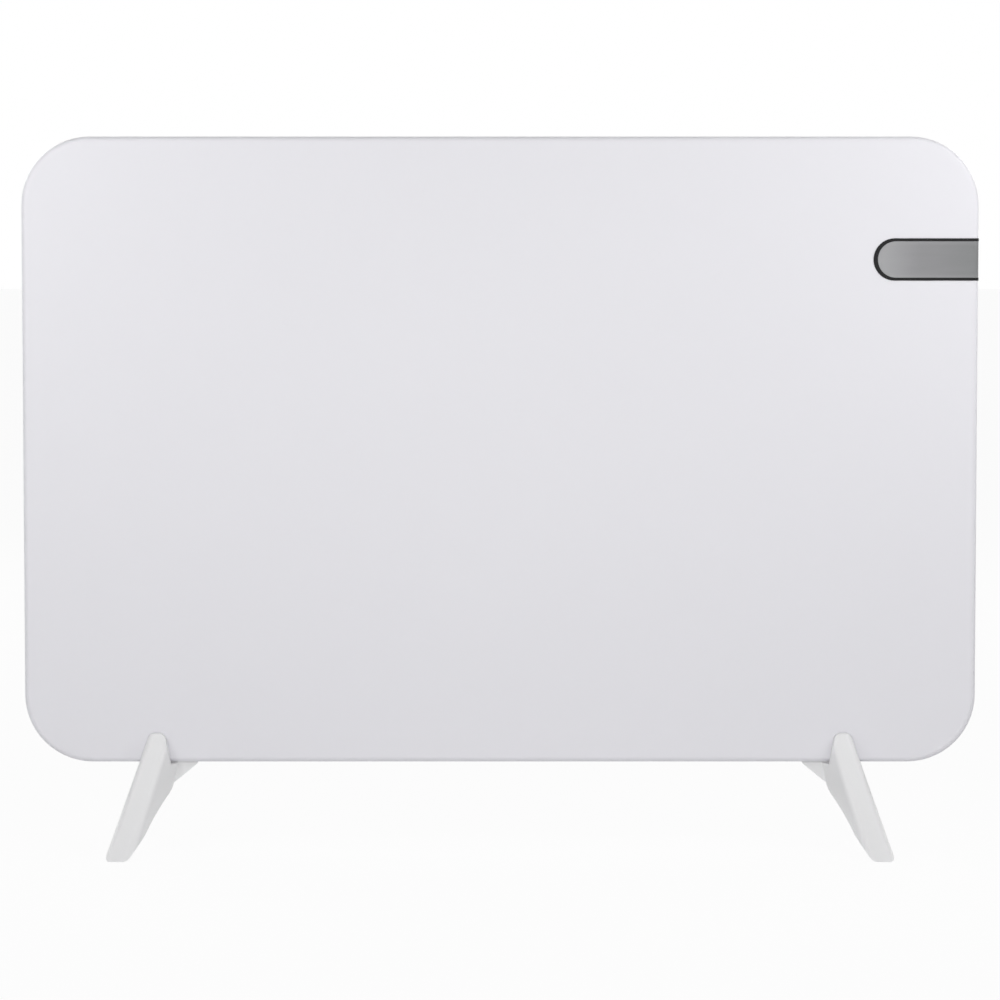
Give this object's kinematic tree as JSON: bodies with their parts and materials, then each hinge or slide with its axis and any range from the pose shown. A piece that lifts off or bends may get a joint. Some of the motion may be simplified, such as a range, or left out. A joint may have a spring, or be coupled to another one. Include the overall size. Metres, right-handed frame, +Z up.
{
  "type": "infrared panel heater",
  "caption": "Free-standing flat infrared panel heater with rounded corners, a touch control strip at its right edge and two splayed feet.",
  "frame": {"origin": "on the floor, under the middle of the panel", "axes": "+X to the right seen from the front, +Y to the back, +Z up"},
  "size_m": [0.9146, 0.22, 0.682],
  "materials": {
    "panel_white": "satin",
    "cover_white": "satin",
    "foot_white": "satin",
    "bezel_black": "gloss",
    "lens_grey": "gloss",
    "housing_black": "matte",
    "rocker_black": "satin",
    "gland_grey": "satin",
    "board_green": "satin",
    "digit_module": "gloss",
    "relay_blue": "satin",
    "core_steel": "satin",
    "capacitor_yellow": "satin",
    "can_black": "gloss",
    "socket_green": "satin",
    "nylon_natural": "satin",
    "box_grey": "matte",
    "foam_tape": "matte",
    "film_carbon": "satin",
    "copper": "satin",
    "brass": "satin",
    "mica": "satin",
    "mineral_wool": "matte",
    "foil": "satin",
    "zinc_steel": "satin",
    "screw_steel": "satin",
    "cutout_ceramic": "satin",
    "tinned": "satin",
    "cover_screw": "satin",
    "sleeve_clear": "gloss",
    "lead_brown": "satin",
    "lead_white": "satin",
    "lead_black": "satin",
    "pad_grey": "matte",
    "pad_white": "matte"
  },
  "bodies": {
    "heater": {"board_screws": "screw_steel", "board_sockets": "socket_green", "box_tapes": "foam_tape", "bulk_capacitors": "can_black", "busbar_posts": "brass", "busbars": "copper", "buzzer": "can_black", "control_bezel": "bezel_black", "control_lens": "lens_grey", "cord_gland": "gland_grey", "cover_brackets": "panel_white", "cover_screws": "cover_screw", "display_board": "board_green", "display_cable": "lead_black", "display_housing": "housing_black", "display_screws": "screw_steel", "earth_ring": "tinned", "earth_stud": "brass", "element_leads": "lead_white", "filter_capacitor": "capacitor_yellow", "floor_pads": "pad_grey", "foot_nut_plates": "zinc_steel", "foot_screws": "cover_screw", "front_panel": "panel_white", "gland_nut": "gland_grey", "heating_film": "film_carbon", "insulating_sheet": "mica", "insulation_board": "mineral_wool", "led_display": "digit_module", "left_foot": "foot_white", "mains_leads": "lead_brown", "power_board": "board_green", "power_box": "box_grey", "power_box_lid": "box_grey", "rear_cover": "cover_white", "reflector_foil": "foil", "relay": "relay_blue", "retaining_straps": "zinc_steel", "right_foot": "foot_white", "rocker_switch_body": "housing_black", "room_sensor": "screw_steel", "sensor_holder": "nylon_natural", "side_rails": "zinc_steel", "signal_leads": "lead_black", "slot_pads": "pad_white", "strap_screws": "screw_steel", "switch_blades": "brass", "switch_connectors": "sleeve_clear", "terminal_block": "nylon_natural", "terminal_bracket": "zinc_steel", "terminal_screws": "screw_steel", "thermal_cutouts": "cutout_ceramic", "tilt_pivot_pin": "screw_steel", "tilt_switch_case": "housing_black", "tilt_switch_lid": "housing_black", "touch_springs": "screw_steel", "transformer": "core_steel", "wall_nut_plates": "zinc_steel"},
    "rocker": {"rocker": "rocker_black"},
    "pendulum": {"tilt_pendulum": "brass"}
  },
  "joints": [
    {"name": "main_rocker", "type": "hinge", "parent": "heater", "child": "rocker", "pos_m": [0.372, 0.0123, 0.172], "axis": [0, 0, -1], "range_deg": [0, 16]},
    {"name": "tilt_swing", "type": "hinge", "parent": "heater", "child": "pendulum", "pos_m": [0.408, 0.0025, 0.135], "axis": [1, 0, 0], "range_deg": [-15, 15]}
  ]
}
